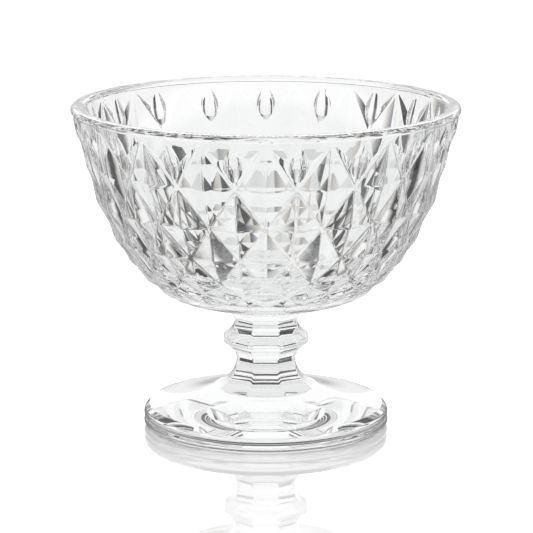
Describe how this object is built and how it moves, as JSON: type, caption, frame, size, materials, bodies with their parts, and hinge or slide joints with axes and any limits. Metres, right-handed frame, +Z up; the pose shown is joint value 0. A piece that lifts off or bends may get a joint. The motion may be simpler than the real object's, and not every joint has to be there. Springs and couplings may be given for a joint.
{
  "type": "ice cream bowl",
  "caption": "Clear pressed-glass ice cream bowl: a round diamond-cut bowl with a beaded rim on an octagonal knopped stem and a round banded foot.",
  "frame": {"origin": "middle of the flat underside of the foot, on the surface that the bowl stands on", "axes": "+Z up along the bowl's axis, -Y towards the front, where a diamond of the top row is centred"},
  "size_m": [0.12, 0.12, 0.101],
  "materials": {
    "clear_glass": "clear, colourless, fire-polished pressed glass"
  },
  "bodies": {
    "root": {"foot": "clear_glass", "stem": "clear_glass", "bowl": "clear_glass"}
  },
  "joints": []
}
